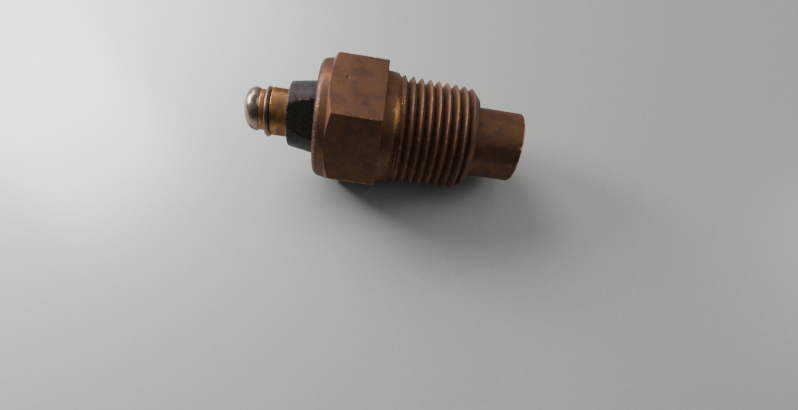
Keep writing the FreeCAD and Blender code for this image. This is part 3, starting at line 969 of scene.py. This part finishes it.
def slot_materials():
    """The finish of each of the record's material slots."""
    return {
        "body_brass": aged_brass(
            "aged_body_brass", colour(0.37, 0.186, 0.092), colour(0.2, 0.096, 0.06),
            colour(0.14, 0.078, 0.072), colour(1.0, 0.52, 0.2), 0.46),
        "terminal_brass": aged_brass(
            "terminal_brass", colour(0.62, 0.315, 0.115), colour(0.26, 0.13, 0.062),
            colour(0.15, 0.08, 0.066), colour(1.0, 0.62, 0.26), 0.42, film_share=0.5, edge=0.3),
        "nickel": polished_metal(
            "warm_nickel", colour(0.26, 0.185, 0.155), colour(0.46, 0.35, 0.27), 0.22,
            metallic=0.75, edge=0.35),
        "dark_spring_steel": polished_metal(
            "dark_spring_steel", colour(0.18, 0.105, 0.085), colour(0.29, 0.175, 0.14), 0.34,
            metallic=0.85),
        "plated_steel": polished_metal(
            "plated_steel", colour(0.5, 0.5, 0.48), colour(0.66, 0.66, 0.63), 0.3),
        "silver": polished_metal(
            "contact_silver", colour(0.72, 0.7, 0.66), colour(0.9, 0.89, 0.86), 0.25),
        "spring_bronze": polished_metal(
            "spring_bronze", colour(0.55, 0.33, 0.17), colour(0.74, 0.48, 0.26), 0.28),
        "phenolic": black_phenolic(),
        "rubber": moulded(
            "black_rubber", colour(0.015, 0.015, 0.015), colour(0.03, 0.03, 0.03), 0.7),
        "liner_paper": moulded(
            "varnished_paper", colour(0.4, 0.28, 0.16), colour(0.56, 0.42, 0.26), 0.5, 6.0),
        "ceramic": moulded(
            "unglazed_ceramic", colour(0.74, 0.7, 0.62), colour(0.86, 0.83, 0.77), 0.6, 8.0, 0.3),
    }


def dress(materials):
    """Gives every CAD node the finish of its material slot."""
    for part in record["subparts"]:
        mesh = frame["nodes"][part["node"]].data
        mesh.materials.clear()
        mesh.materials.append(materials[part["material_slot"]])


def stand_for(piece, node, body, slot, materials):
    """Makes a piece stand for a CAD node, on its body and with its slot's finish."""
    piece.data.materials.append(materials[slot])
    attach(piece, body)
    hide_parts(node)


# ---------------------------------------------------------------- floor, light and camera

def floor_frame():
    """A point of the floor and its normal: the part lies on a hexagon edge and on a thread crest."""
    slope = (INSCRIBED - crest_radius(REST_CREST_X)) / REST_CREST_X
    return Vector((0, 0, -INSCRIBED)) * MM, Vector((-slope, 0, 1)).normalized()


def lay_floor():
    point, normal = floor_frame()
    half = FLOOR_SIZE / 2
    mesh = bpy.data.meshes.new("floor")
    corners = [(-half, -half, 0), (half, -half, 0), (half, half, 0), (-half, half, 0)]
    mesh.from_pydata(corners, [], [(0, 1, 2, 3)])
    floor = bpy.data.objects.new("floor", mesh)
    bpy.context.scene.collection.objects.link(floor)
    floor.matrix_world = Matrix.Translation(point) @ normal.to_track_quat("Z", "Y").to_matrix().to_4x4()
    n = Finish("floor")
    grain = n.noise(n.mm(), 0.9, 5.0, 0.6)
    base = n.mix(n.ramp(grain, 0.3, 0.7), FLOOR_DIM, FLOOR_PALE)
    n.set(Base_Color=base, Roughness=0.3, Normal=n.bump(grain, 0.12, 0.05))
    mesh.materials.append(n.material)


def soft_light(name, towards, distance_mm, size_mm, radiance, tint, aim_mm):
    """Rectangular light in the given direction from the part, facing the place aim_mm."""
    width, height = size_mm[0] * MM, size_mm[1] * MM
    data = bpy.data.lights.new(name, "AREA")
    data.shape = "RECTANGLE"
    data.size = width
    data.size_y = height
    data.energy = radiance * math.pi * width * height
    data.color = tint
    light = bpy.data.objects.new(name, data)
    towards = Vector(towards).normalized()
    light.location = towards * distance_mm * MM
    light.rotation_mode = "QUATERNION"
    light.rotation_quaternion = (Vector(aim_mm) * MM - light.location).to_track_quat("-Z", "Y")
    light.visible_camera = False
    bpy.context.scene.collection.objects.link(light)


def surround():
    """Soft surround, bright above and behind the part and dim in front. The camera sees it plain."""
    world = bpy.data.worlds.new("studio")
    bpy.context.scene.world = world
    world.use_nodes = True
    n = Nodes(world.node_tree)
    direction = n.node("TexCoord").outputs["Generated"]
    bright_side = tuple(Vector(BRIGHT_SIDE).normalized())
    towards = n.vector("DOT_PRODUCT", direction, bright_side).outputs["Value"]
    graded = n.mix(n.ramp(towards, *BRIGHT_REACH), SURROUND_DIM, SURROUND_BRIGHT)
    seen = n.node("LightPath").outputs["Is Camera Ray"]
    n.put(n.tree.nodes["Background"].inputs["Color"], n.mix(seen, graded, SURROUND_SEEN))


def set_camera():
    data = bpy.data.cameras.new("camera")
    data.lens = CAMERA_LENS
    data.sensor_width = SENSOR_WIDTH
    data.shift_x, data.shift_y = CAMERA_SHIFT
    data.clip_start = 0.005
    data.clip_end = 2 * FLOOR_SIZE
    camera = bpy.data.objects.new("camera", data)
    right = CAMERA_LOOK.cross(CAMERA_UP).normalized()
    up = right.cross(CAMERA_LOOK).normalized()
    turn = Matrix((right, up, -CAMERA_LOOK.normalized())).transposed()
    camera.matrix_world = Matrix.Translation(CAMERA_PLACE * MM) @ turn.to_4x4()
    bpy.context.scene.collection.objects.link(camera)
    bpy.context.scene.camera = camera


set_camera()
lay_floor()
surround()
for light in SOFT_LIGHTS:
    soft_light(*light)
materials = slot_materials()
dress(materials)
stand_for(brass_body(), "body", "housing", "body_brass", materials)
stand_for(insulator(), "insulator", "housing", "phenolic", materials)
stand_for(terminal_sleeve(), "terminal_sleeve", "housing", "terminal_brass", materials)
stand_for(terminal_cap(), "terminal_cap", "housing", "nickel", materials)
stand_for(snap_ring(), "snap_ring", "ring", "dark_spring_steel", materials)
spring = return_spring()
stand_for(spring, "return_spring", "housing", "spring_bronze", materials)
shorten_spring(spring)
